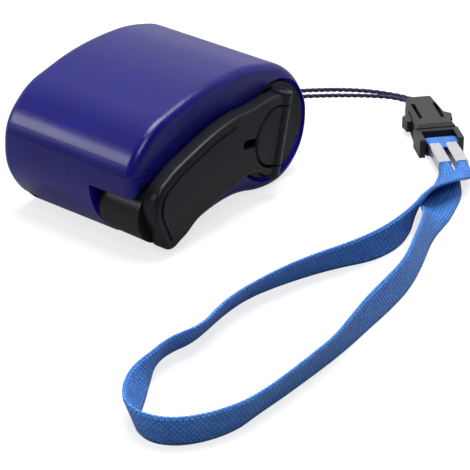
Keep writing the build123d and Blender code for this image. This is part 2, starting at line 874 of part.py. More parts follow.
with BuildPart() as motor_screws:
    with BuildSketch(side_plane(motor_y + can_wall)):
        with Locations(*[(p.X, p.Y) for p in motor_screw_places]):
            Circle(motor_screw_r)
    extrude(amount=plate_thick + can_wall)
    with BuildSketch(side_plane(far_plate_y)):
        with Locations(*[(p.X, p.Y) for p in motor_screw_places]):
            Circle(motor_screw_head_r)
    extrude(amount=motor_screw_head)
finish(motor_screws, "motor_screws")

with BuildPart() as generator_cap:
    with BuildSketch(side_plane(cap_y + cap_thick)):
        with Locations((rotor_at.X, rotor_at.Y)):
            Circle(motor_r)
    extrude(amount=cap_thick)
    with BuildSketch(side_plane(cap_y)):
        with Locations((rotor_at.X, rotor_at.Y)):
            Circle(motor_r - can_wall - 0.05)
    extrude(amount=cap_plug)
    with BuildSketch(side_plane(cap_y + cap_thick - 0.4)):
        with Locations((rotor_at.X, rotor_at.Y)):
            Circle(motor_shaft_r + running_gap)
    extrude(amount=cap_thick + cap_plug, mode=Mode.SUBTRACT)
finish(generator_cap, "generator_cap")

with BuildPart() as field_magnets:
    with BuildSketch(side_plane(cap_y - cap_plug - 0.3)):
        with Locations((rotor_at.X, rotor_at.Y)):
            Circle(motor_r - can_wall - 0.05)
            Circle(magnet_inner_r, mode=Mode.SUBTRACT)
            Rectangle(3 * motor_r, 0.7 * motor_r, mode=Mode.SUBTRACT)
    extrude(amount=cap_y - cap_plug - motor_y - can_wall - 0.6)
finish(field_magnets, "field_magnets")

with BuildPart() as rotor:
    with BuildSketch(side_plane(cap_y + cap_thick - 0.5)):
        with Locations((rotor_at.X, rotor_at.Y)):
            Circle(motor_shaft_r)
    extrude(amount=cap_y + cap_thick - 0.5 - wheel_two_y)
    with BuildSketch(side_plane(wheel_two_y + wheel_thick + 0.2)):
        with Locations((rotor_at.X, rotor_at.Y)):
            gear_face(rotor_teeth, rotor_phase)
    extrude(amount=wheel_thick + 0.2)
    with BuildSketch(side_plane(cap_y - cap_plug - 1.0)):
        with Locations((rotor_at.X, rotor_at.Y)):
            Circle(armature_r)
            with PolarLocations(0.75 * armature_r, 3):
                Rectangle(0.6 * armature_r, armature_slot, mode=Mode.SUBTRACT)
    extrude(amount=cap_y - cap_plug - motor_y - can_wall - 2.0)
finish(rotor, "rotor")

# ---------------------------------------------------------------- electrics
board_near = far_inner - board_deep
board_top = board_height + board_thick
usb_centre_z = board_top + usb_high / 2
usb_mouth = half_wide - usb_recess

with BuildPart() as circuit_board:
    with BuildSketch(Plane.XY.offset(board_height)):
        with Locations((usb_x, (board_near + far_inner) / 2 + mid_y)):
            Rectangle(board_long, board_deep - 0.1)
    extrude(amount=board_thick)
finish(circuit_board, "circuit_board")

with BuildPart() as usb_shell:
    with BuildSketch(side_plane(usb_mouth)):
        with Locations((usb_x, usb_centre_z)):
            RectangleRounded(usb_wide, usb_high, 0.8)
            RectangleRounded(usb_wide - 2 * usb_wall, usb_high - 2 * usb_wall, 0.45, mode=Mode.SUBTRACT)
    extrude(amount=usb_deep)
finish(usb_shell, "usb_shell")

with BuildPart() as usb_tongue:
    with BuildSketch(side_plane(usb_mouth - usb_deep + tongue_root)):
        with Locations((usb_x, usb_centre_z)):
            RectangleRounded(usb_wide - 2 * usb_wall - 0.1, usb_high - 2 * usb_wall - 0.1, 0.5)
    extrude(amount=tongue_root)
    with BuildSketch(side_plane(usb_mouth - tongue_back)):
        with Locations((usb_x, usb_centre_z + tongue_rise)):
            Rectangle(tongue_wide, tongue_thick)
    extrude(amount=usb_deep - tongue_back)
finish(usb_tongue, "usb_tongue")

with BuildPart() as usb_contacts:
    with BuildSketch(side_plane(usb_mouth - tongue_back - 0.6)):
        with Locations((usb_x, usb_centre_z + tongue_rise - tongue_thick / 2 - contact_thick / 2)):
            with GridLocations(2.5, 0, 4, 1):
                Rectangle(1.1, contact_thick)
    extrude(amount=usb_deep - tongue_back - tongue_root - 1.2)
finish(usb_contacts, "usb_contacts")

with BuildPart() as capacitor:
    with BuildSketch(Plane.YZ.offset(usb_x - cap_long / 2)):
        with Locations((board_near + 3.6 + mid_y, board_top + cap_r)):
            Circle(cap_r)
    extrude(amount=cap_long)
    fillet(capacitor.edges().filter_by(GeomType.CIRCLE), 0.5)
finish(capacitor, "capacitor")

with BuildPart() as regulator:
    with BuildSketch(Plane.XY.offset(board_top)):
        with Locations((usb_x + cap_long / 2 + 2.7, board_near + 3.6 + mid_y)):
            Rectangle(3.9, 5.5)
    extrude(amount=1.8)
    chamfer(regulator.faces().sort_by(Axis.Z)[-1].edges(), 0.3)
finish(regulator, "regulator")

with BuildPart() as diodes:
    for x in (usb_x - 8.7, usb_x - 6.7):
        for y in (board_near + 1.9, board_near + 5.3):
            with BuildSketch(side_plane(y + 1.5)):
                with Locations((x, board_top + diode_r)):
                    Circle(diode_r)
            extrude(amount=3.0)
finish(diodes, "diodes")


def wire_radii(points):
    """The largest arc at each corner that both of its runs leave room for."""
    steps = [Vector(*b) - Vector(*a) for a, b in zip(points, points[1:])]
    radii = []
    for before, after in zip(steps, steps[1:]):
        half_turn = radians(before.get_angle(after)) / 2
        radii.append(0.45 * min(before.length, after.length) / tan(half_turn))
    return radii


def round_cord(points, radius):
    """A round tube along straight runs joined by arcs."""
    with BuildPart() as cord:
        with BuildLine() as route:
            FilletPolyline(*points, radius=wire_radii(points))
        with BuildSketch(Plane(origin=points[0], z_dir=Vector(*points[1]) - Vector(*points[0]))):
            Circle(radius)
        sweep(path=route.wires()[0])
    section = pi * radius**2
    print("cord", round(route.wires()[0].length, 1), "mm, volume over section", round(cord.part.volume / section, 1))
    return cord.part


cap_face = cap_y + cap_thick + mid_y
board_y = board_near + mid_y
wire_routes = [
    [
        (rotor_at.X + 5.5, cap_face + 0.02, rotor_at.Y - 3.5),
        (rotor_at.X + 5.5, cap_face + 1.4, rotor_at.Y - 3.5),
        (rotor_at.X + 9.0, cap_face + 1.4, rotor_at.Y - 6.9),
        (rotor_at.X + 13.5, cap_face - 1.0, rotor_at.Y - 7.4),
        (rotor_at.X + 18.5, cap_face - 1.4, rotor_at.Y - 6.6),
        (usb_x - 8.0, cap_face - 1.9, board_top + 1.6),
        (usb_x - 8.0, cap_face - 1.9, board_top),
    ],
    [
        (rotor_at.X + 5.5, cap_face + 0.02, rotor_at.Y - 0.5),
        (rotor_at.X + 5.5, cap_face + 1.4, rotor_at.Y - 0.5),
        (rotor_at.X + 10.4, cap_face + 1.3, rotor_at.Y - 3.0),
        (rotor_at.X + 14.0, cap_face - 2.6, rotor_at.Y - 5.0),
        (rotor_at.X + 19.0, cap_face - 3.6, rotor_at.Y - 5.4),
        (usb_x - 8.0, cap_face - 4.3, board_top + 1.7),
        (usb_x - 8.0, cap_face - 4.3, board_top),
    ],
]

with BuildPart() as generator_wires:
    for points in wire_routes:
        add(round_cord(points, wire_r))
finish(generator_wires, "generator_wires")


# ---------------------------------------------------------------- folding arm and knob
def arm_outline(inset):
    """The arm's side view, drawn in by inset, in the sketch that is open."""
    points = [Vector(*point) for point in arm_lower + [arm_tip_mid] + arm_upper]
    headings = [(points[1] - points[0]).normalized()]
    for before, here, after in zip(points, points[1:], points[2:]):
        headings.append(heading_at(here - before, after - here))
    headings.append((points[-1] - points[-2]).normalized())
    with BuildLine() as outline:
        arcs = tangent_arcs(points, headings, inset)
        for start, end, heading in arcs:
            if abs(inward(heading).dot(end - start)) < 1e-6:
                Line(start, end)
            else:
                TangentArc(start, end, tangent=heading)
        Line(arcs[-1][1], arcs[0][0])
    make_face(outline.edges())


with BuildPart() as arm_slab:
    with BuildSketch(side_plane(arm_back)):
        arm_outline(0)
    extrude(amount=arm_thick)
    fillet(arm_slab.faces().sort_by(Axis.Y)[0].edges(), arm_round)

with BuildPart() as crank_arm:
    with BuildSketch(side_plane(arm_front)):
        arm_outline(panel_inset)
        with Locations((hinge.X - panel_end + housing_length, hinge.Y)):
            Rectangle(2 * housing_length, 2 * housing_height, mode=Mode.SUBTRACT)
    extrude(amount=panel_raise)
    add(arm_slab.part)
    with BuildSketch(side_plane(arm_back + 1)):
        with Locations((boss_at.X, boss_at.Y)):
            Circle(boss_r + boss_gap)
        with Locations((slot_end.X, slot_end.Y)):
            Circle(slot_wide / 2)
        slot_middle = boss_at + slot_way * (slot_reach / 2)
        with Locations((slot_middle.X, slot_middle.Y)):
            Rectangle(slot_reach, slot_wide, rotation=slot_angle)
        left_of_hinge(-knuckle_r, knuckle_r + knuckle_gap, arm_knuckle_from)
    extrude(amount=arm_thick + 2, mode=Mode.SUBTRACT)
    for start in (arm_knuckle_from, -arm_knuckle_from - arm_knuckle_long):
        with BuildSketch(hinge_plane.offset(start)):
            Circle(knuckle_r)
        extrude(amount=arm_knuckle_long)
    with BuildSketch(hinge_plane.offset(-hub_knuckle_long)):
        Circle(hinge_pin_r)
    extrude(amount=2 * hub_knuckle_long, mode=Mode.SUBTRACT)
    with BuildSketch(side_plane(arm_back)):
        with Locations((knob.X, knob.Y)):
            Circle(knob_thread_r)
    extrude(amount=knob_thread, mode=Mode.SUBTRACT)
finish(crank_arm, "crank_arm")

with BuildPart() as hinge_pin:
    with BuildSketch(hinge_plane.offset(-arm_knuckle_from - arm_knuckle_long + 0.2)):
        Circle(hinge_pin_r)
    extrude(amount=2 * (arm_knuckle_from + arm_knuckle_long - 0.2))
finish(hinge_pin, "hinge_pin")

with BuildPart() as crank_knob:
    with Locations(Location((knob.X, knob_end + mid_y, knob.Y), (90, 0, 0))):
        Cone(knob_r - knob_waist, knob_r, knob_long, align=up_from)
    fillet(crank_knob.faces().sort_by(Axis.Y)[-1].edges(), knob_round)
    with BuildSketch(side_plane(knob_end)):
        with Locations((knob.X, knob.Y)):
            Circle(knob_head_r + 0.2)
    extrude(amount=knob_head_deep, mode=Mode.SUBTRACT)
    with BuildSketch(side_plane(knob_end)):
        with Locations((knob.X, knob.Y)):
            Circle(knob_screw_r + running_gap)
    extrude(amount=knob_long, mode=Mode.SUBTRACT)
finish(crank_knob, "crank_knob")

with BuildPart() as knob_screw:
    with BuildSketch(side_plane(knob_end - knob_head_deep + knob_head_thick)):
        with Locations((knob.X, knob.Y)):
            Circle(knob_head_r)
    extrude(amount=knob_head_thick - knob_head_gap)
    with BuildSketch(side_plane(knob_end - knob_head_deep + knob_head_thick)):
        with Locations((knob.X, knob.Y)):
            Circle(knob_screw_r)
    extrude(amount=knob_end - knob_head_deep + knob_head_thick - arm_back)
    with BuildSketch(side_plane(arm_back)):
        with Locations((knob.X, knob.Y)):
            Circle(knob_thread_r)
    extrude(amount=knob_thread)
    with BuildSketch(side_plane(knob_end - knob_head_deep + knob_head_thick)):
        with Locations((knob.X, knob.Y)):
            Rectangle(2.6, 0.7)
            Rectangle(0.7, 2.6)
    extrude(amount=0.6, mode=Mode.SUBTRACT)
finish(knob_screw, "knob_screw")

# ---------------------------------------------------------------- lanyard string
pin_x, pin_y = eye_pin_at
loop_r = eye_pin_r + string_r + 0.1
buckle = Plane(
    origin=(buckle_x, buckle_y, 0),
    x_dir=(cos(radians(buckle_turn)), sin(radians(buckle_turn)), 0),
    z_dir=(0, 0, 1),
)
string_points = [
    (76.09, -23.48, 3.0),
    (77.48, -21.85, 3.0),
    (78.6, -17.4, 3.3),
    (77.4, -9.8, 4.2),
    (71.6, -3.0, 5.2),
    (62.8, 0.6, 6.6),
    (53.4, 2.2, 8.2),
    (44.8, 4.6, 9.9),
    (37.6, 7.2, 11.0),
    (pin_x + 1.6, pin_y + loop_r, 11.3),
    (pin_x - loop_r, pin_y + loop_r, 11.35),
    (pin_x - loop_r, pin_y - loop_r, 11.25),
    (pin_x + 1.6, pin_y - loop_r, 11.1),
    (36.6, 4.4, 10.7),
    (43.4, 1.8, 9.6),
    (51.8, -0.6, 7.9),
    (60.6, -1.6, 6.4),
    (69.0, -4.4, 5.0),
    (74.4, -10.6, 4.0),
    (76.2, -17.4, 3.3),
    (75.88, -20.95, 3.0),
    (74.71, -22.32, 3.0),
]
with BuildPart() as lanyard_string:
    add(round_cord(string_points, string_r))
finish(lanyard_string, "lanyard_string")
print("string radii", [round(r, 1) for r in wire_radii(string_points)])


# ---------------------------------------------------------------- buckle
def buckle_block(start, end, wide, low, high, y=0.0):
    """A block along the buckle, from its string end."""
    with BuildPart() as block:
        with BuildSketch(buckle.offset(low)):
            with Locations(((start + end) / 2, y)):
                Rectangle(end - start, wide)
        extrude(amount=high - low)
    return block.part


def taper(start, end, start_wide, end_wide):
    Polygon((start, -start_wide / 2), (end, -end_wide / 2), (end, end_wide / 2), (start, start_wide / 2), align=None)


def room_half(x):
    """Half the width of the socket's inside, from the socket's string end."""
    share = (x - socket_stop) / (socket_long + 1 - socket_stop)
    return (socket_room_end + (socket_room_mouth - socket_room_end) * share) / 2


room_low = (socket_high - socket_room_high) / 2
with BuildPart() as buckle_socket:
    with BuildSketch(buckle):
        taper(0, socket_long, socket_end_wide, socket_mouth_wide)
    extrude(amount=socket_high)
    chamfer(buckle_socket.faces().sort_by(Axis.Z)[-1].edges(), 0.8)
    with BuildSketch(buckle.offset(room_low)):
        taper(socket_stop, socket_long + 1, socket_room_end, socket_room_mouth)
    extrude(amount=socket_room_high, mode=Mode.SUBTRACT)
    add(
        buckle_block(window_from, window_to, 2 * socket_mouth_wide, room_low, room_low + socket_room_high),
        mode=Mode.SUBTRACT,
    )
    for side in (-1, 1):
        add(
            buckle_block(
                top_slot_from, top_slot_to, top_slot_wide, socket_high - 2, socket_high + 1, side * top_slot_out
            ),
            mode=Mode.SUBTRACT,
        )
finish(buckle_socket, "buckle_socket")

prong_low = room_low + 0.2
prong_high = room_low + socket_room_high - 0.2
bar_z = frame_high / 2
with BuildPart() as buckle_plug:
    add(buckle_block(socket_long + 0.1, socket_long + frame_long, frame_wide, 0, frame_high))
    add(
        buckle_block(
            socket_long + frame_arm, socket_long + frame_long + 1, frame_wide - 2 * frame_arm, -1, frame_high + 1
        ),
        mode=Mode.SUBTRACT,
    )
    with BuildSketch(Plane(origin=buckle.from_local_coords((bar_at, -frame_wide / 2 + 0.2, bar_z)), z_dir=buckle.y_dir)):
        Circle(bar_r)
    extrude(amount=frame_wide - 0.4)
    with BuildSketch(buckle.offset(prong_low)):
        for side in (-1, 1):
            Polygon(
                (socket_long + 0.5, side * 1.6),
                (socket_long + 0.5, side * (room_half(socket_long) - prong_gap)),
                (window_to - 0.3, side * (room_half(window_to) - prong_gap)),
                (window_to - 0.3, side * (socket_mouth_wide / 2 + lever_bulge * 0.6)),
                ((window_from + window_to) / 2, side * (socket_mouth_wide / 2 + lever_bulge)),
                (window_from + 0.3, side * room_half(window_from)),
                (window_from - 1.2, side * (room_half(window_from - 1.2) - prong_gap)),
                (window_from - 1.2, side * (room_half(window_from - 1.2) - 1.0)),
                (window_to - 0.5, side * 1.6),
                align=None,
            )
        with Locations(((socket_stop + socket_long) / 2 + 0.5, 0)):
            Rectangle(socket_long - socket_stop + 0.4, 1.2)
    extrude(amount=prong_high - prong_low)
finish(buckle_plug, "buckle_plug")

tab_r = bar_r + 0.1 + webbing_thick / 2
with BuildPart() as webbing_tab:
    with BuildSketch(
        Plane(origin=buckle.from_local_coords((0, webbing_wide / 2, 0)), x_dir=buckle.x_dir, z_dir=-buckle.y_dir)
    ):
        with Locations((bar_at, bar_z)):
            Circle(tab_r + webbing_thick / 2)
        with Locations(((bar_at + crimp_from) / 2, bar_z)):
            Rectangle(crimp_from - bar_at, 2 * tab_r + webbing_thick)
        with Locations((bar_at, bar_z)):
            Circle(tab_r - webbing_thick / 2, mode=Mode.SUBTRACT)
        with Locations((crimp_from, bar_z)):
            Rectangle(2 * (crimp_from - bar_at), 2 * tab_r - webbing_thick, mode=Mode.SUBTRACT)
    extrude(amount=webbing_wide)
finish(webbing_tab, "webbing_tab")

with BuildPart() as strap_crimps:
    for side in (-1, 1):
        add(
            buckle_block(
                crimp_from, crimp_from + crimp_long, crimp_wide, crimp_low, crimp_low + crimp_high,
                side * crimp_apart / 2,
            )
        )
    fillet(strap_crimps.edges().filter_by(lambda e: abs(e.tangent_at(0.5).dot(buckle.x_dir)) > 0.9), crimp_round)
finish(strap_crimps, "strap_crimps")

# ---------------------------------------------------------------- wrist strap
strap_start = buckle.from_local_coords((crimp_from + crimp_long, crimp_apart / 2, 0))
strap_end = buckle.from_local_coords((crimp_from + crimp_long, -crimp_apart / 2, 0))
lead_out = buckle.x_dir * strap_lead
strap_points = [(p.X, p.Y) for p in (strap_start, strap_start + lead_out)]
strap_points += strap_route
strap_points += [(p.X, p.Y) for p in (strap_end + lead_out, strap_end)]
strap_radii = wire_radii([(x, y, 0) for x, y in strap_points])
with BuildPart() as wrist_strap:
    with BuildLine() as strap_line:
        FilletPolyline(*strap_points, radius=strap_radii)
    with BuildSketch(
        Plane(
            origin=(*strap_points[0], webbing_wide / 2),
            x_dir=(0, 0, 1),
            z_dir=buckle.x_dir,
        )
    ):
        Rectangle(webbing_wide, webbing_thick)
    sweep(path=strap_line.wires()[0])
finish(wrist_strap, "wrist_strap")
strap_long = strap_line.wires()[0].length
strap_section = webbing_wide * webbing_thick
print("strap", round(strap_long, 1), "mm, volume over section", round(wrist_strap.part.volume / strap_section, 1))
print("strap radii", [round(r, 1) for r in strap_radii])
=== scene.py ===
import math

import bmesh
import bpy
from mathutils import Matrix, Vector


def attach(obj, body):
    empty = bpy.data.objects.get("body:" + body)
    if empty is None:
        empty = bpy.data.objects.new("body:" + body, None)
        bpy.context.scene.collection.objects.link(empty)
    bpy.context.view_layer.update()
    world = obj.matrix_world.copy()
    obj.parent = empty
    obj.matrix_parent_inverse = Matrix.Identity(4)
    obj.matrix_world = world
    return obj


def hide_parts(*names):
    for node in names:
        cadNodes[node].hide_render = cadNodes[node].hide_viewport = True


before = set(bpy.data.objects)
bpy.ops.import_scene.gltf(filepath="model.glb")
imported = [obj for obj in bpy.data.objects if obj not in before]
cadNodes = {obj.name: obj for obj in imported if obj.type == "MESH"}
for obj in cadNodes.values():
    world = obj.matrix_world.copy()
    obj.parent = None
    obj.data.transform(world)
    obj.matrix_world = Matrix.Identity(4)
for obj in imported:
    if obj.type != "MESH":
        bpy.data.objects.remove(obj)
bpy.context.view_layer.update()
scene = bpy.context.scene
scene.view_settings.view_transform = "Standard"
mm = 0.001

# the photographer's stand: camera place in millimetres, angles in degrees
cameraStand = {
    "place": (-391.66, -342.50, 268.87),
    "azimuth": -50.7,
    "elevation": 28.4,
    "lens": 180.0,
    "sensor": 36.0,
}


def setCamera(stand):
    data = bpy.data.cameras.new("photoCamera")
    data.lens = stand["lens"]
    data.sensor_width = stand["sensor"]
    data.clip_start = 0.01
    data.clip_end = 20
    camera = bpy.data.objects.new("photoCamera", data)
    turn, rise = math.radians(stand["azimuth"]), math.radians(stand["elevation"])
    back = Vector((math.sin(turn) * math.cos(rise), -math.cos(turn) * math.cos(rise), math.sin(rise)))
    camera.location = Vector(stand["place"]) * mm
    camera.rotation_mode = "QUATERNION"
    camera.rotation_quaternion = (-back).to_track_quat("-Z", "Y")
    scene.collection.objects.link(camera)
    scene.camera = camera


setCamera(cameraStand)
print("camera set")


# small helpers for node trees and meshes
def addNode(tree, kind, at=(0, 0), **settings):
    node = tree.nodes.new(kind)
    node.location = at
    for name, value in settings.items():
        setattr(node, name, value)
    return node


def wire(tree, source, target):
    tree.links.new(source, target)


# one arithmetic step; numbers and sockets both go in
def sums(tree, operation, *values, clamp=False):
    node = addNode(tree, "ShaderNodeMath", operation=operation, use_clamp=clamp)
    for socket, value in zip(node.inputs, values):
        if isinstance(value, (int, float)):
            socket.default_value = value
        else:
            wire(tree, value, socket)
    return node.outputs[0]


def blendColours(tree, share, first, second, mode="MIX"):
    node = addNode(tree, "ShaderNodeMix", data_type="RGBA", blend_type=mode)
    for socket, value in ((node.inputs[0], share), (node.inputs[6], first), (node.inputs[7], second)):
        if isinstance(value, (int, float)):
            socket.default_value = value
        elif isinstance(value, tuple):
            socket.default_value = (*value, 1)
        else:
            wire(tree, value, socket)
    return node.outputs[2]


def linkMesh(name, mesh):
    piece = bpy.data.objects.new(name, mesh)
    scene.collection.objects.link(piece)
    for face in mesh.polygons:
        face.use_smooth = True
    return piece


# the points, in metres, of a smooth NURBS line with these control points
def curvePoints(name, rows, resolution=12):
    data = bpy.data.curves.new(name, "CURVE")
    data.dimensions = "3D"
    line = data.splines.new("NURBS")
    line.points.add(len(rows) - 1)
    for point, row in zip(line.points, rows):
        point.co = (row[0] * mm, row[1] * mm, row[2] * mm, 1)
    line.order_u = 3
    line.use_endpoint_u = True
    line.resolution_u = resolution
    holder = bpy.data.objects.new(name, data)
    mesh = bpy.data.meshes.new_from_object(holder)
    found = [vertex.co.copy() for vertex in mesh.vertices]
    bpy.data.objects.remove(holder)
    bpy.data.meshes.remove(mesh)
    return found


# shared effects
def makeGroup(name, inputs, outputs):
    group = bpy.data.node_groups.new(name, "ShaderNodeTree")
    for label, kind, value in inputs:
        socket = group.interface.new_socket(name=label, in_out="INPUT", socket_type=kind)
        if value is not None:
            socket.default_value = value
    for label, kind in outputs:
        group.interface.new_socket(name=label, in_out="OUTPUT", socket_type=kind)
    return group, addNode(group, "NodeGroupInput", (-900, 0)), addNode(group, "NodeGroupOutput", (600, 0))


# fine spark-eroded grain of a moulded face, with slow flow marks
def buildMouldGrain():
    group, given, made = makeGroup(
        "mouldGrain",
        [
            ("Place", "NodeSocketVector", None),
            ("Grain Size", "NodeSocketFloat", 2500.0),
            ("Flow Size", "NodeSocketFloat", 60.0),
            ("Roughness Low", "NodeSocketFloat", 0.3),
            ("Roughness High", "NodeSocketFloat", 0.4),
        ],
        [("Height", "NodeSocketFloat"), ("Roughness", "NodeSocketFloat"), ("Flow", "NodeSocketFloat")],
    )
    grain = addNode(group, "ShaderNodeTexNoise", (-600, 200))
    flow = addNode(group, "ShaderNodeTexNoise", (-600, -200))
    grain.inputs["Detail"].default_value = 2
    flow.inputs["Detail"].default_value = 3
    for texture, size in ((grain, "Grain Size"), (flow, "Flow Size")):
        wire(group, given.outputs["Place"], texture.inputs["Vector"])
        wire(group, given.outputs[size], texture.inputs["Scale"])
    spread = sums(group, "SUBTRACT", given.outputs["Roughness High"], given.outputs["Roughness Low"])
    mix = sums(group, "MULTIPLY_ADD", flow.outputs["Fac"], spread, given.outputs["Roughness Low"])
    wire(group, grain.outputs["Fac"], made.inputs["Height"])
    wire(group, mix, made.inputs["Roughness"])
    wire(group, flow.outputs["Fac"], made.inputs["Flow"])
    return group


# rows of warp floats, each row half a float on from its neighbour, with a mask for painted shade between the
# threads; the place is in millimetres
def buildPlainWeave():
    group, given, made = makeGroup(
        "plainWeave",
        [
            ("Place", "NodeSocketVector", None),
            ("Pick Length", "NodeSocketFloat", 1.1),
            ("Row Width", "NodeSocketFloat", 0.8),
        ],
        [("Height", "NodeSocketFloat"), ("Gap Shade", "NodeSocketFloat"), ("Row Shade", "NodeSocketFloat")],
    )
    split = addNode(group, "ShaderNodeSeparateXYZ", (-700, 0))
    wire(group, given.outputs["Place"], split.inputs[0])
    along = sums(group, "DIVIDE", split.outputs[0], given.outputs["Pick Length"])
    across = sums(group, "DIVIDE", split.outputs[1], given.outputs["Row Width"])
    row = sums(group, "FLOOR", across)
    odd = sums(group, "MULTIPLY", sums(group, "FLOORED_MODULO", row, 2.0), 0.5)
    alongShift = sums(group, "ADD", along, odd)
    waveAlong = sums(group, "ABSOLUTE", sums(group, "SINE", sums(group, "MULTIPLY", alongShift, math.pi)))
    waveAcross = sums(group, "ABSOLUTE", sums(group, "SINE", sums(group, "MULTIPLY", across, math.pi)))
    bump = sums(
        group, "MULTIPLY", sums(group, "POWER", waveAlong, 0.55), sums(group, "POWER", waveAcross, 0.45)
    )
    # painted shade: a mask that is 1 where the threads part and 0 on their crowns
    gap = sums(group, "SUBTRACT", 1.0, sums(group, "MULTIPLY", bump, 1.6, clamp=True))
    thread = addNode(group, "ShaderNodeTexWhiteNoise", (-300, -300), noise_dimensions="2D")
    cell = addNode(group, "ShaderNodeCombineXYZ", (-450, -300))
    wire(group, sums(group, "FLOOR", alongShift), cell.inputs[0])
    wire(group, row, cell.inputs[1])
    wire(group, cell.outputs[0], thread.inputs["Vector"])
    wire(group, bump, made.inputs["Height"])
    wire(group, gap, made.inputs["Gap Shade"])
    wire(group, thread.outputs["Value"], made.inputs["Row Shade"])
    return group


mouldGrain = buildMouldGrain()
plainWeave = buildPlainWeave()


def newMaterial(name):
    material = bpy.data.materials.new(name)
    material.use_nodes = True
    tree = material.node_tree
    surface = next(node for node in tree.nodes if node.type == "BSDF_PRINCIPLED")
    return material, tree, surface


def useGroup(tree, group, place, **values):
    node = addNode(tree, "ShaderNodeGroup", (-600, 0), node_tree=group)
    wire(tree, place, node.inputs["Place"])
    for name, value in values.items():
        node.inputs[name].default_value = value
    return node


def bumpFrom(tree, surface, height, depth, strength=1.0):
    bump = addNode(tree, "ShaderNodeBump", (-200, -300))
    bump.inputs["Strength"].default_value = strength
    bump.inputs["Distance"].default_value = depth
    wire(tree, height, bump.inputs["Height"])
    wire(tree, bump.outputs[0], surface.inputs["Normal"])
    return bump


def objectPlace(tree):
    return addNode(tree, "ShaderNodeTexCoord", (-900, 0)).outputs["Object"]


# colour and roughness that follow the grain group
def grainOn(tree, surface, recipe):
    sizes = {
        "Grain Size": recipe["grain"],
        "Flow Size": recipe["flow"],
        "Roughness Low": recipe["rough"][0],
        "Roughness High": recipe["rough"][1],
    }
    grain = useGroup(tree, mouldGrain, objectPlace(tree), **sizes)
    tone = blendColours(tree, grain.outputs["Flow"], recipe["dark"], recipe["light"])
    wire(tree, tone, surface.inputs["Base Color"])
    wire(tree, grain.outputs["Roughness"], surface.inputs["Roughness"])
    return grain


def makePlastic(name, recipe):
    material, tree, surface = newMaterial(name)
    grain = grainOn(tree, surface, recipe)
    bumpFrom(tree, surface, grain.outputs["Height"], recipe["depth"] * mm)
    for socket, value in recipe.get("sockets", {}).items():
        surface.inputs[socket].default_value = value
    return material


plasticRecipes = {
    "frostedBlue": {
        "dark": (0.010, 0.008, 0.28),
        "light": (0.018, 0.014, 0.40),
        "rough": (0.24, 0.32),
        "grain": 1800,
        "flow": 45,
        "depth": 0.02,
        "sockets": {"Transmission Weight": 0.7, "IOR": 1.45, "Specular IOR Level": 0.3},
    },
    "satinBlack": {
        "dark": (0.007, 0.007, 0.009),
        "light": (0.011, 0.011, 0.014),
        "rough": (0.30, 0.40),
        "grain": 2600,
        "flow": 70,
        "depth": 0.02,
        "sockets": {"Specular IOR Level": 0.22},
    },
    "buckleBlack": {
        "dark": (0.010, 0.010, 0.013),
        "light": (0.018, 0.018, 0.022),
        "rough": (0.28, 0.40),
        "grain": 2200,
        "flow": 120,
        "depth": 0.03,
    },
    "naturalNylon": {
        "dark": (0.62, 0.61, 0.57),
        "light": (0.74, 0.73, 0.69),
        "rough": (0.35, 0.5),
        "grain": 2000,
        "flow": 90,
        "depth": 0.01,
    },
    "boardGreen": {
        "dark": (0.008, 0.06, 0.02),
        "light": (0.015, 0.10, 0.035),
        "rough": (0.2, 0.35),
        "grain": 3000,
        "flow": 300,
        "depth": 0.01,
    },
    "darkComponent": {
        "dark": (0.01, 0.01, 0.012),
        "light": (0.02, 0.02, 0.022),
        "rough": (0.4, 0.6),
        "grain": 3000,
        "flow": 200,
        "depth": 0.01,
    },
    "redInsulation": {
        "dark": (0.35, 0.012, 0.01),
        "light": (0.5, 0.02, 0.015),
        "rough": (0.4, 0.5),
        "grain": 3000,
        "flow": 200,
        "depth": 0.005,
    },
    "sinteredGrey": {
        "dark": (0.03, 0.03, 0.032),
        "light": (0.06, 0.06, 0.062),
        "rough": (0.55, 0.75),
        "grain": 4000,
        "flow": 400,
        "depth": 0.03,
    },
}
plastics = {name: makePlastic(name, recipe) for name, recipe in plasticRecipes.items()}


def makeMetal(name, recipe):
    material, tree, surface = newMaterial(name)
    grain = grainOn(tree, surface, recipe)
    surface.inputs["Metallic"].default_value = 1.0
    bumpFrom(tree, surface, grain.outputs["Flow"], recipe["dent"] * mm)
    return material


metalRecipes = {
    "plainSteel": {
        "dark": (0.5, 0.5, 0.52),
        "light": (0.66, 0.66, 0.68),
        "rough": (0.25, 0.4),
        "grain": 1500,
        "flow": 300,
        "dent": 0.01,
    },
    "pressedTin": {
        "dark": (0.78, 0.78, 0.80),
        "light": (0.90, 0.90, 0.92),
        "rough": (0.16, 0.3),
        "grain": 1500,
        "flow": 420,
        "dent": 0.06,
    },
    "turnedBrass": {
        "dark": (0.55, 0.38, 0.12),
        "light": (0.7, 0.5, 0.2),
        "rough": (0.25, 0.4),
        "grain": 1500,
        "flow": 300,
        "dent": 0.01,
    },
}
metals = {name: makeMetal(name, recipe) for name, recipe in metalRecipes.items()}


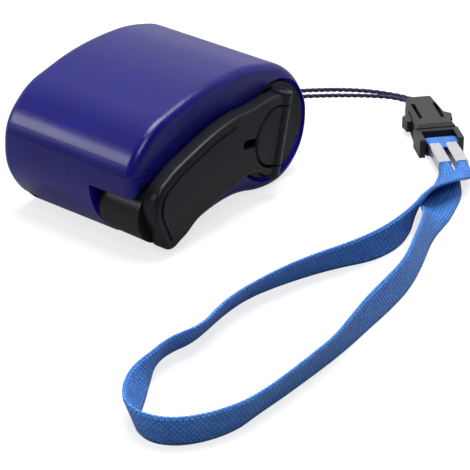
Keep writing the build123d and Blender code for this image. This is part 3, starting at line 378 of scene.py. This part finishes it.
def makeWebbing(name, recipe):
    material, tree, surface = newMaterial(name)
    place = addNode(tree, "ShaderNodeUVMap", (-900, 0), uv_map="weaveMap").outputs[0]
    weave = useGroup(tree, plainWeave, place, **{"Pick Length": recipe["pick"], "Row Width": recipe["row"]})
    thread = blendColours(tree, weave.outputs["Row Shade"], recipe["dark"], recipe["light"])
    patch = addNode(tree, "ShaderNodeTexNoise", (-600, 300))
    patch.inputs["Scale"].default_value = recipe["patch"]
    wire(tree, place, patch.inputs["Vector"])
    share = sums(tree, "MULTIPLY", patch.outputs["Fac"], recipe["patchShare"])
    worn = blendColours(tree, share, thread, recipe["bright"])
    # painted shade: the weave's gaps are darkened towards the gap shade colour
    tone = blendColours(tree, weave.outputs["Gap Shade"], worn, recipe["gap"])
    wire(tree, tone, surface.inputs["Base Color"])
    rough = sums(tree, "MULTIPLY_ADD", weave.outputs["Row Shade"], recipe["roughSpread"], recipe["rough"])
    wire(tree, rough, surface.inputs["Roughness"])
    surface.inputs["Sheen Weight"].default_value = recipe["sheen"]
    surface.inputs["Sheen Roughness"].default_value = 0.4
    surface.inputs["Sheen Tint"].default_value = (0.5, 0.65, 1.0, 1)
    bumpFrom(tree, surface, weave.outputs["Height"], recipe["deep"] * mm)
    return material


webbingRecipe = {
    "pick": 1.15,
    "row": 0.8,
    "dark": (0.018, 0.12, 0.52),
    "light": (0.045, 0.24, 0.76),
    "bright": (0.09, 0.35, 0.90),
    # colour of the painted shade between the threads
    "gap": (0.003, 0.012, 0.12),
    "patch": 0.25,
    "patchShare": 0.6,
    "rough": 0.5,
    "roughSpread": 0.15,
    "sheen": 0.08,
    "deep": 0.22,
}
webbingBlue = makeWebbing("webbingBlue", webbingRecipe)
cordRecipe = {
    **webbingRecipe,
    "pick": 0.5,
    "row": 0.5,
    "dark": (0.010, 0.012, 0.05),
    "light": (0.02, 0.025, 0.09),
    "bright": (0.03, 0.035, 0.12),
    # colour of the painted shade between the strands
    "gap": (0.003, 0.003, 0.01),
    "patch": 0.4,
    "sheen": 0.1,
    "deep": 0.04,
}
cordNavy = makeWebbing("cordNavy", cordRecipe)
print("materials made")

# lanyard string: the modelled cord's control points in millimetres, moved to follow the photo
stringPiece = {
    "points": [
        (76.09, -23.48, 3.0),
        (77.30, -21.60, 3.0),
        (77.0, -17.6, 3.4),
        (72.4, -10.6, 4.6),
        (66.6, -5.4, 5.6),
        (60.2, -2.2, 6.9),
        (52.8, 0.6, 8.4),
        (44.8, 4.0, 9.9),
        (37.6, 7.2, 11.0),
        (32.75, 8.15, 11.3),
        (29.55, 8.15, 11.35),
        (29.55, 4.95, 11.25),
        (32.75, 4.95, 11.1),
        (36.6, 4.2, 10.7),
        (43.6, 1.4, 9.6),
        (52.2, -2.2, 7.9),
        (60.6, -6.4, 6.4),
        (68.4, -11.4, 5.0),
        (73.4, -15.6, 4.0),
        (75.4, -19.0, 3.3),
        (75.5, -21.2, 3.0),
        (74.71, -22.32, 3.0),
    ],
    "diameter": 1.2,
    "resolution": 14,
    "strandShare": 2.15,  # the cord's radius over a strand's
    "strands": 3,
    "twist": 5.5,  # millimetres for one turn of the strands
}


def lengthOf(points):
    return sum((b - a).length for a, b in zip(points, points[1:]))


# geometry nodes that twist a few round strands along a line
def strandTree(material):
    tree = bpy.data.node_groups.new("twistedCord", "GeometryNodeTree")
    for label, kind, way in (
        ("Line", "NodeSocketGeometry", "INPUT"),
        ("Strands", "NodeSocketInt", "INPUT"),
        ("Strand Radius", "NodeSocketFloat", "INPUT"),
        ("Lay Radius", "NodeSocketFloat", "INPUT"),
        ("Turn Length", "NodeSocketFloat", "INPUT"),
        ("Cord", "NodeSocketGeometry", "OUTPUT"),
    ):
        tree.interface.new_socket(name=label, in_out=way, socket_type=kind)
    given = addNode(tree, "NodeGroupInput", (-900, 0))
    made = addNode(tree, "NodeGroupOutput", (700, 0))
    ring = addNode(tree, "GeometryNodeMeshCircle", (-700, -250))
    wire(tree, given.outputs["Strands"], ring.inputs["Vertices"])
    wire(tree, given.outputs["Lay Radius"], ring.inputs["Radius"])
    strand = addNode(tree, "GeometryNodeCurvePrimitiveCircle", (-700, -450))
    strand.inputs["Resolution"].default_value = 10
    wire(tree, given.outputs["Strand Radius"], strand.inputs["Radius"])
    place = addNode(tree, "GeometryNodeInstanceOnPoints", (-450, -300))
    wire(tree, ring.outputs["Mesh"], place.inputs["Points"])
    wire(tree, strand.outputs["Curve"], place.inputs["Instance"])
    profile = addNode(tree, "GeometryNodeRealizeInstances", (-250, -300))
    wire(tree, place.outputs[0], profile.inputs[0])
    along = addNode(tree, "GeometryNodeSplineParameter", (-700, 200))
    turns = sums(tree, "DIVIDE", along.outputs["Length"], given.outputs["Turn Length"])
    tilt = addNode(tree, "GeometryNodeSetCurveTilt", (-250, 100))
    wire(tree, given.outputs["Line"], tilt.inputs["Curve"])
    wire(tree, sums(tree, "MULTIPLY", turns, 2 * math.pi), tilt.inputs["Tilt"])
    tube = addNode(tree, "GeometryNodeCurveToMesh", (0, 0))
    tube.inputs["Fill Caps"].default_value = True
    wire(tree, tilt.outputs[0], tube.inputs["Curve"])
    wire(tree, profile.outputs[0], tube.inputs["Profile Curve"])
    solid = addNode(tree, "GeometryNodeRealizeInstances", (200, 0))
    wire(tree, tube.outputs[0], solid.inputs[0])
    paint = addNode(tree, "GeometryNodeSetMaterial", (400, 0))
    paint.inputs["Material"].default_value = material
    wire(tree, solid.outputs[0], paint.inputs["Geometry"])
    wire(tree, paint.outputs[0], made.inputs["Cord"])
    return tree


def setInputs(modifier, values):
    for socket in modifier.node_group.interface.items_tree:
        if socket.item_type == "SOCKET" and socket.in_out == "INPUT" and socket.name in values:
            modifier[socket.identifier] = values[socket.name]


# the evaluated result as a plain mesh piece; the source goes
def flatCopy(source, name):
    bpy.context.view_layer.update()
    graph = bpy.context.evaluated_depsgraph_get()
    mesh = bpy.data.meshes.new_from_object(source.evaluated_get(graph), depsgraph=graph)
    bpy.data.objects.remove(source)
    mesh.name = name
    return linkMesh(name, mesh)


def makeString(piece):
    path = curvePoints("stringPath", piece["points"], piece["resolution"])
    data = bpy.data.curves.new("stringLine", "CURVE")
    data.dimensions = "3D"
    line = data.splines.new("POLY")
    line.points.add(len(path) - 1)
    for point, place in zip(line.points, path):
        point.co = (*place, 1)
    holder = bpy.data.objects.new("stringLine", data)
    scene.collection.objects.link(holder)
    radius = piece["diameter"] * mm / 2
    strandRadius = radius / piece["strandShare"]
    modifier = holder.modifiers.new("cord", "NODES")
    modifier.node_group = strandTree(cordNavy)
    setInputs(
        modifier,
        {
            "Strands": piece["strands"],
            "Strand Radius": strandRadius,
            "Lay Radius": radius - strandRadius,
            "Turn Length": piece["twist"] * mm,
        },
    )
    string = flatCopy(holder, "lanyardString")
    weaveMap = string.data.uv_layers.new(name="weaveMap")
    for corner in string.data.loops:
        place = string.data.vertices[corner.vertex_index].co
        weaveMap.data[corner.index].uv = (place.x / mm, place.z / mm + place.y / mm)
    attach(string, "housing")
    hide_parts("lanyard_string")


makeString(stringPiece)

# wrist strap: x, y, z of the ribbon's middle, then its lean to the left, cupping (degrees) and narrowing
strapPiece = {
    "stations": [
        (50.27, -49.07, 3.0, -90, -250, 0.66),
        (49.3, -50.2, 3.0, -90, -235, 0.70),
        (46.6, -52.9, 2.6, -86, -150, 0.90),
        (42.0, -55.4, 1.8, -82, -70),
        (36.6, -57.4, 1.2, -80, -25),
        (31.2, -59.6, 1.4, -70, -5),
        (25.6, -62.3, 2.8, -40, 0),
        (19.8, -65.2, 4.1, -12, 0),
        (8.6, -70.4, 4.1, -13, 0),
        (-2.5, -74.9, 4.1, -8, 0),
        (-12.8, -76.9, 4.1, -8, 0),
        (-22.3, -78.4, 4.1, -4, 0),
        (-31.7, -80.3, 4.1, 4, 0),
        (-40.6, -81.8, 4.1, 14, 0),
        (-49.2, -82.4, 4.1, 16, 0),
        (-57.5, -82.9, 4.1, 18, 0),
        (-65.5, -83.0, 4.0, 20, 0),
        (-73.2, -83.1, 4.1, 15, 0),
        (-80.9, -80.6, 4.1, 13, 0),
        (-86.4, -76.6, 4.1, 14, 0),
        (-88.8, -71.3, 4.1, 14, 0),
        (-87.7, -65.9, 4.1, 18, 0),
        (-83.3, -61.8, 4.0, 24, 0),
        (-77.3, -58.5, 4.1, 22, 0),
        (-70.7, -56.2, 4.2, -6, 0),
        (-64.9, -53.7, 4.0, -24, 0),
        (-59.8, -53.1, 3.9, -31, 0),
        (-53.1, -54.4, 3.8, -33, 0),
        (-46.2, -53.1, 4.0, -27, 0),
        (-39.0, -51.8, 3.9, -29, 0),
        (-30.6, -51.4, 3.8, -33, 0),
        (-21.5, -52.9, 4.0, -28, 0),
        (-12.3, -55.2, 4.0, -24, 0),
        (-4.1, -58.3, 4.1, -20, 0),
        (4.1, -61.2, 4.1, -4, 0),
        (12.2, -61.6, 4.1, 2, 0),
        (19.6, -60.4, 4.4, -6, 0),
        (26.0, -58.0, 5.2, -24, 0),
        (32.4, -56.2, 5.4, -44, -10),
        (38.8, -56.0, 5.0, -54, -40),
        (44.8, -55.8, 4.3, -62, -110, 0.95),
        (49.7, -54.8, 3.6, -80, -190, 0.82),
        (52.4, -53.1, 3.1, -90, -240, 0.70),
        (53.62, -51.93, 3.0, -90, -250, 0.66),
    ],
    "wide": 8.2,
    "thick": 1.0,
    "columns": 12,
    "edgeFrom": 0.86,  # share of the half width from which the woven edge thins
    "edgeThin": 0.55,
    "floorGap": 0.03,
}


# 1 over the band, less towards its woven edge
def edgeThickness(piece, share):
    past = max(0.0, (abs(share) - piece["edgeFrom"]) / (1 - piece["edgeFrom"]))
    return 1 - piece["edgeThin"] * past**2


# one face for each step along a closed ring of points, with its place in the weave
def skinRings(work, weaveMap, rings, alongs, columns, wide):
    around = 2 * (columns + 1)

    def across(k):
        share = k % (columns + 1) / columns
        return (share if k <= columns else 1 - share) * wide

    for i in range(len(rings) - 1):
        for k in range(around):
            n = (k + 1) % around
            face = work.faces.new((rings[i][k], rings[i][n], rings[i + 1][n], rings[i + 1][k]))
            for corner, (row, column) in zip(face.loops, ((i, k), (i, n), (i + 1, n), (i + 1, k))):
                corner[weaveMap].uv = (alongs[row], across(column))
    for ring in (rings[0], rings[-1]):
        work.faces.new(ring)


def bandFrom(work, name):
    bmesh.ops.recalc_face_normals(work, faces=work.faces)
    mesh = bpy.data.meshes.new(name)
    work.to_mesh(mesh)
    work.free()
    mesh.materials.append(webbingBlue)
    return linkMesh(name, mesh)


# a woven band along its stations, which leans and cups as they say; its map is in millimetres
def makeRibbon(name, piece):
    path = curvePoints(name + "Path", piece["stations"], 12)
    rows = [(*station, 1.0)[:6] for station in piece["stations"]]
    shape = curvePoints(name + "Shape", [row[3:] for row in rows], 12)
    wide, thick, columns = piece["wide"] * mm, piece["thick"] * mm, piece["columns"]
    work = bmesh.new()
    rings, alongs, far = [], [], 0.0
    for i, centre in enumerate(path):
        before, after = path[max(i - 1, 0)], path[min(i + 1, len(path) - 1)]
        if i:
            far += (centre - path[i - 1]).length
        alongs.append(far / mm)
        heading = (after - before).normalized()
        left = Vector((-heading.y, heading.x, 0)).normalized()
        lean, cup = math.radians(shape[i].x / mm), math.radians(shape[i].y / mm)
        if abs(cup) < 0.01:
            cup = 0.01  # flat, but still a bend to work with
        upward = (heading.cross(left) * math.cos(lean) + left * math.sin(lean)).normalized()
        outward = heading.cross(upward).normalized()
        bend = wide * shape[i].z / mm / cup
        sink = bend * (1 - math.sin(cup / 2) / (cup / 2))
        ring = []
        for side in (1, -1):
            for k in range(columns + 1):
                share = k / columns * 2 - 1
                angle = share * side * cup / 2
                reach = bend + side * thick / 2 * edgeThickness(piece, share)
                offset = upward * math.sin(angle) * reach + outward * (math.cos(angle) * reach - bend + sink)
                ring.append(centre + offset)
        lift = max(0.0, piece["floorGap"] * mm - min(place.z for place in ring))
        centre.z += lift
        rings.append([work.verts.new(place + Vector((0, 0, lift))) for place in ring])
    weaveMap = work.loops.layers.uv.new("weaveMap")
    skinRings(work, weaveMap, rings, alongs, columns, piece["wide"])
    return bandFrom(work, name), path


strap, strapPath = makeRibbon("wristStrap", strapPiece)
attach(strap, "housing")
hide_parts("wrist_strap")
print("strap", round(lengthOf(strapPath) / mm, 1), "mm")

# the webbing tab that joins the buckle's bar to the two crimps; local x runs along the buckle
buckleFrame = {"origin": (75.4, -22.9), "turn": 229.6}
tabPiece = {
    "profile": [
        (27.2, 3.55),
        (26.2, 3.7),
        (25.2, 4.05),
        (24.2, 4.22),
        (23.2, 4.22),
        (21.9, 3.9),
        (21.45, 2.5),
        (21.9, 1.1),
        (23.2, 0.78),
        (24.2, 0.78),
        (25.2, 0.95),
        (26.2, 1.9),
        (27.2, 2.45),
    ],
    "wide": 8.2,
    "narrow": 7.2,  # where it goes into the crimps
    "narrowFrom": 24.5,
    "narrowOver": 2.5,
    "thick": 0.9,
    "columns": 8,
    "edgeFrom": 0.8,
    "edgeThin": 0.5,
}


def buckleWorld(x, y, z):
    turn = math.radians(buckleFrame["turn"])
    ox, oy = buckleFrame["origin"]
    return Vector(
        (
            (ox + x * math.cos(turn) - y * math.sin(turn)) * mm,
            (oy + x * math.sin(turn) + y * math.cos(turn)) * mm,
            z * mm,
        )
    )


def makeTab(piece):
    line = curvePoints("tabLine", [(x, 0, z) for x, z in piece["profile"]], 6)
    work = bmesh.new()
    weaveMap = work.loops.layers.uv.new("weaveMap")
    columns = piece["columns"]
    rings, alongs, far = [], [], 0.0
    for i, at in enumerate(line):
        before, after = line[max(i - 1, 0)], line[min(i + 1, len(line) - 1)]
        heading = (after - before).normalized()
        normal = Vector((heading.z, 0, -heading.x))
        if i:
            far += (at - line[i - 1]).length
        alongs.append(far / mm)
        share = min(max((at.x / mm - piece["narrowFrom"]) / piece["narrowOver"], 0), 1)
        half = (piece["wide"] + (piece["narrow"] - piece["wide"]) * share) / 2
        ring = []
        for side in (1, -1):
            for k in range(columns + 1):
                across = (k / columns * 2 - 1) * side
                place = at + normal * (side * piece["thick"] * mm / 2 * edgeThickness(piece, across))
                ring.append(work.verts.new(buckleWorld(place.x / mm, across * half, place.z / mm)))
        rings.append(ring)
    skinRings(work, weaveMap, rings, alongs, columns, piece["wide"])
    tab = bandFrom(work, "webbingTab")
    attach(tab, "housing")
    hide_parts("webbing_tab")
    return tab


tab = makeTab(tabPiece)
print("cords laid")

# finishes of the modelled parts that stay
finishOf = {
    "upper_shell": plastics["frostedBlue"],
    "lower_shell": plastics["frostedBlue"],
    "crank_hub": plastics["satinBlack"],
    "crank_arm": plastics["satinBlack"],
    "crank_knob": plastics["satinBlack"],
    "buckle_socket": plastics["buckleBlack"],
    "buckle_plug": plastics["buckleBlack"],
    "strap_crimps": metals["pressedTin"],
    "hub_bush": metals["turnedBrass"],
    "drive_gear": plastics["naturalNylon"],
    "compound_gear_one": plastics["naturalNylon"],
    "compound_gear_two": plastics["naturalNylon"],
    "circuit_board": plastics["boardGreen"],
    "capacitor": plastics["darkComponent"],
    "regulator": plastics["darkComponent"],
    "diodes": plastics["darkComponent"],
    "generator_cap": plastics["darkComponent"],
    "usb_tongue": plastics["naturalNylon"],
    "generator_wires": plastics["redInsulation"],
    "field_magnets": plastics["sinteredGrey"],
}
for name, node in cadNodes.items():
    if node.hide_render:
        continue
    finish = finishOf.get(name, metals["plainSteel"])
    node.data.materials.clear()
    node.data.materials.append(finish)
print("finishes given")

# studio: pale floor, soft light
studio = {
    "floorSize": 4.0,
    "floorDrop": 0.00005,
    "floorTone": (0.30, 0.30, 0.31),
    "floorGlow": 0.74,  # what the camera sees on top of the floor's own light
    "floorInGloss": 0.12,
    "worldTone": 0.45,
    "worldInGloss": 0.8,
    "worldFront": 0.04,  # the dark room on the camera's side
    "lamps": [
        # name, place, aim, size, power
        ("overhead", (0.1, 0.0, 1.0), (0, -0.02, 0.02), 0.6, 13.0),
        ("leftBox", (-0.8, 0.8, 0.5), (0, 0, 0.02), 0.4, 4.0),
        ("cameraBox", (-0.55, -0.65, 1.0), (0, -0.04, 0.02), 0.35, 4.0),
    ],
}


def makeFloor():
    half = studio["floorSize"] / 2
    mesh = bpy.data.meshes.new("studioFloor")
    corners = [(x * half, y * half, -studio["floorDrop"]) for x, y in ((-1, -1), (1, -1), (1, 1), (-1, 1))]
    mesh.from_pydata(corners, [], [(0, 1, 2, 3)])
    floor = bpy.data.objects.new("studioFloor", mesh)
    scene.collection.objects.link(floor)
    material, tree, surface = newMaterial("paleFloor")
    surface.inputs["Base Color"].default_value = (*studio["floorTone"], 1)
    surface.inputs["Roughness"].default_value = 0.9
    surface.inputs["Specular IOR Level"].default_value = 0.0
    ray = addNode(tree, "ShaderNodeLightPath", (-600, -200))
    gloss = sums(tree, "MULTIPLY", ray.outputs["Is Glossy Ray"], studio["floorInGloss"])
    seen = sums(tree, "MAXIMUM", ray.outputs["Is Camera Ray"], gloss)
    seen = sums(tree, "MAXIMUM", seen, ray.outputs["Is Transmission Ray"])
    surface.inputs["Emission Color"].default_value = (1, 1, 1, 1)
    wire(tree, sums(tree, "MULTIPLY", seen, studio["floorGlow"]), surface.inputs["Emission Strength"])
    mesh.materials.append(material)


def makeWorld():
    world = bpy.data.worlds.new("studioWorld")
    world.use_nodes = True
    tree = world.node_tree
    shade = next(node for node in tree.nodes if node.type == "BACKGROUND")
    turn, rise = math.radians(cameraStand["azimuth"]), math.radians(cameraStand["elevation"])
    facing = addNode(tree, "ShaderNodeVectorMath", (-1000, -100), operation="DOT_PRODUCT")
    wire(tree, addNode(tree, "ShaderNodeTexCoord", (-1200, -100)).outputs["Generated"], facing.inputs[0])
    facing.inputs[1].default_value = (
        math.sin(turn) * math.cos(rise),
        -math.cos(turn) * math.cos(rise),
        math.sin(rise) * 0.2,
    )
    front = addNode(tree, "ShaderNodeMapRange", (-800, -100), interpolation_type="SMOOTHSTEP")
    front.inputs["From Min"].default_value = -0.35
    front.inputs["From Max"].default_value = 0.35
    wire(tree, facing.outputs["Value"], front.inputs["Value"])
    room = blendColours(tree, front.outputs[0], (studio["worldTone"],) * 3, (studio["worldFront"],) * 3)
    bright = blendColours(
        tree, front.outputs[0], (studio["worldInGloss"],) * 3, (studio["worldFront"],) * 3
    )
    ray = addNode(tree, "ShaderNodeLightPath", (-800, 300))
    tone = blendColours(tree, ray.outputs["Is Glossy Ray"], room, bright)
    tone = blendColours(tree, ray.outputs["Is Transmission Ray"], tone, (1.0, 1.0, 1.0))
    tone = blendColours(tree, ray.outputs["Is Camera Ray"], tone, (1.0, 1.0, 1.0))
    wire(tree, tone, shade.inputs["Color"])
    scene.world = world


def makeLamps():
    for name, place, aim, size, power in studio["lamps"]:
        light = bpy.data.lights.new(name, "AREA")
        light.energy = power
        light.size = size
        lamp = bpy.data.objects.new(name, light)
        lamp.location = place
        lamp.rotation_mode = "QUATERNION"
        lamp.rotation_quaternion = (Vector(aim) - Vector(place)).to_track_quat("-Z", "Y")
        scene.collection.objects.link(lamp)


makeFloor()
makeWorld()
makeLamps()
print("studio lit")

bpy.context.view_layer.update()
